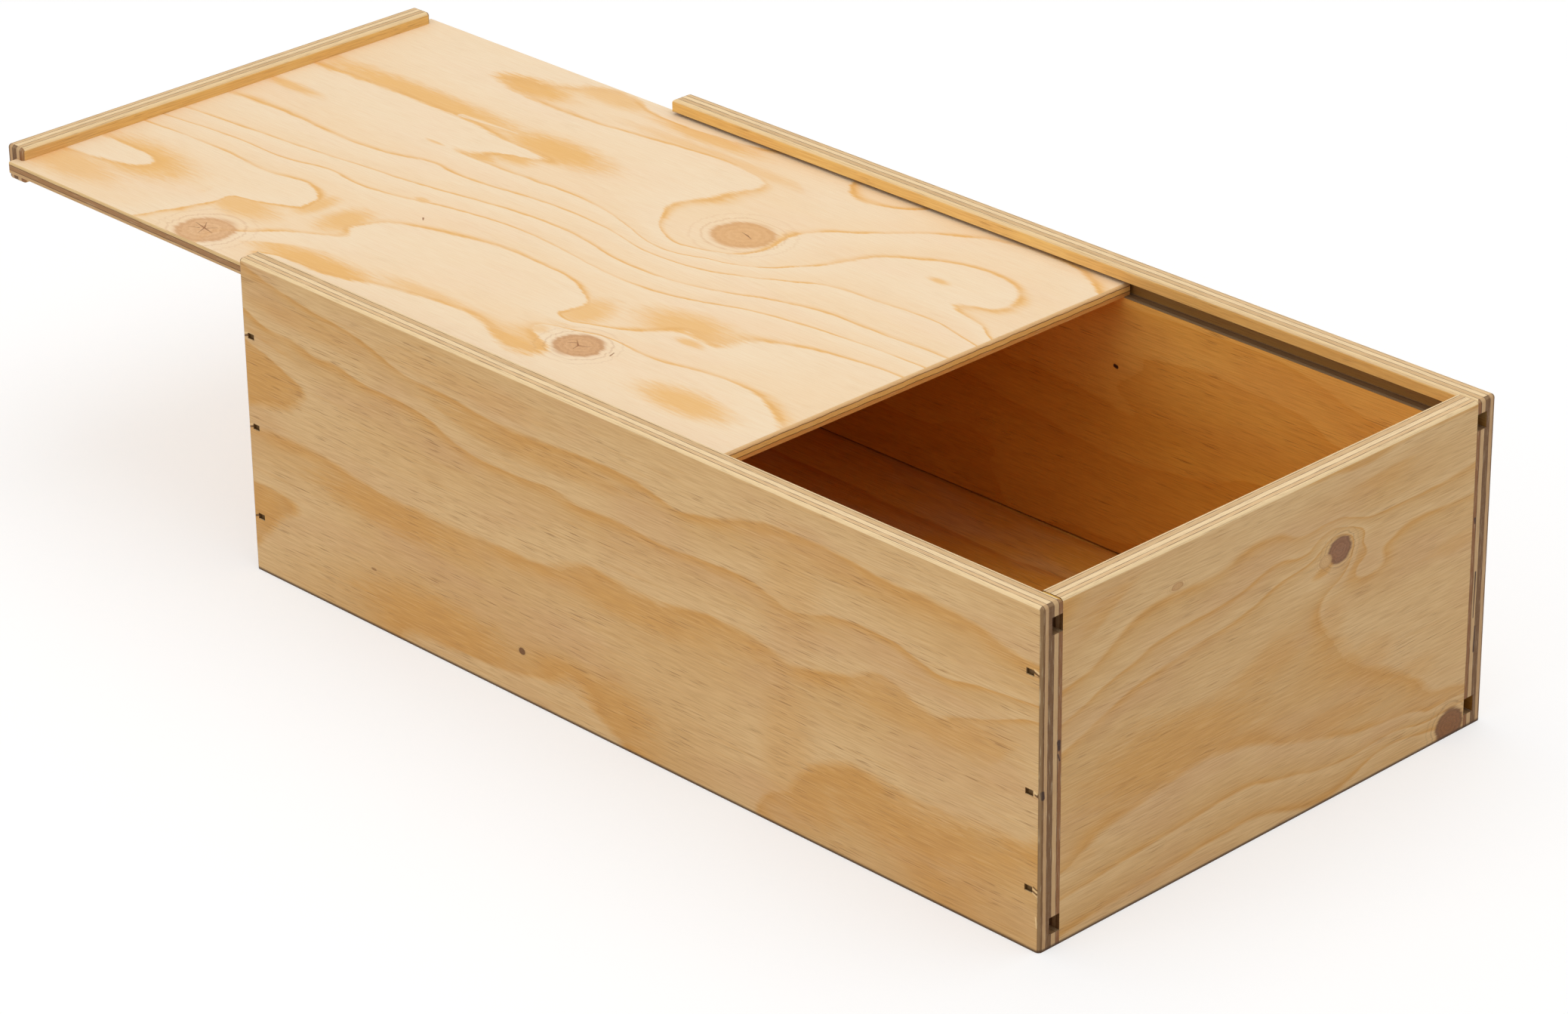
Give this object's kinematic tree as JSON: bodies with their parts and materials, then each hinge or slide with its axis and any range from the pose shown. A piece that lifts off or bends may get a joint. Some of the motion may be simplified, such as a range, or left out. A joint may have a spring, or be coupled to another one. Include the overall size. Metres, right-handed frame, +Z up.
{
  "type": "sliding lid wooden box",
  "caption": "Rectangular plywood box with a grooved lid panel that slides out at the rear, a batten on the lid as its handle and nailed butt corners.",
  "frame": {"origin": "centre of the whole footprint, with the lid drawn as in the rest pose, at the level that the box stands on", "axes": "+X towards the front end, along the box; the lid draws out towards -X; +Y towards the far side; +Z up"},
  "size_m": [0.5706, 0.233, 0.13],
  "materials": {
    "side_plywood": "bare sanded softwood plywood",
    "end_plywood": "bare sanded softwood plywood",
    "bottom_plywood": "bare sanded softwood plywood",
    "lid_plywood": "bare sanded pale softwood plywood",
    "batten_plywood": "bare sanded softwood plywood",
    "nail_steel": "dull drawn steel wire"
  },
  "bodies": {
    "box": {"near_side_panel": "side_plywood", "far_side_panel": "side_plywood", "front_end_panel": "end_plywood", "rear_end_panel": "end_plywood", "bottom_panel": "bottom_plywood", "nail_front_near_low": "nail_steel", "nail_front_near_middle": "nail_steel", "nail_front_near_top": "nail_steel", "nail_front_far_low": "nail_steel", "nail_front_far_middle": "nail_steel", "nail_front_far_top": "nail_steel", "nail_rear_near_low": "nail_steel", "nail_rear_near_middle": "nail_steel", "nail_rear_near_top": "nail_steel", "nail_rear_far_low": "nail_steel", "nail_rear_far_middle": "nail_steel", "nail_rear_far_top": "nail_steel"},
    "lid": {"lid_panel": "lid_plywood", "lid_batten": "batten_plywood"}
  },
  "joints": [
    {"name": "lid_slide", "type": "slide", "parent": "box", "child": "lid", "axis": [-1, 0, 0], "range_m": [-0.1575, 0.2465]}
  ]
}
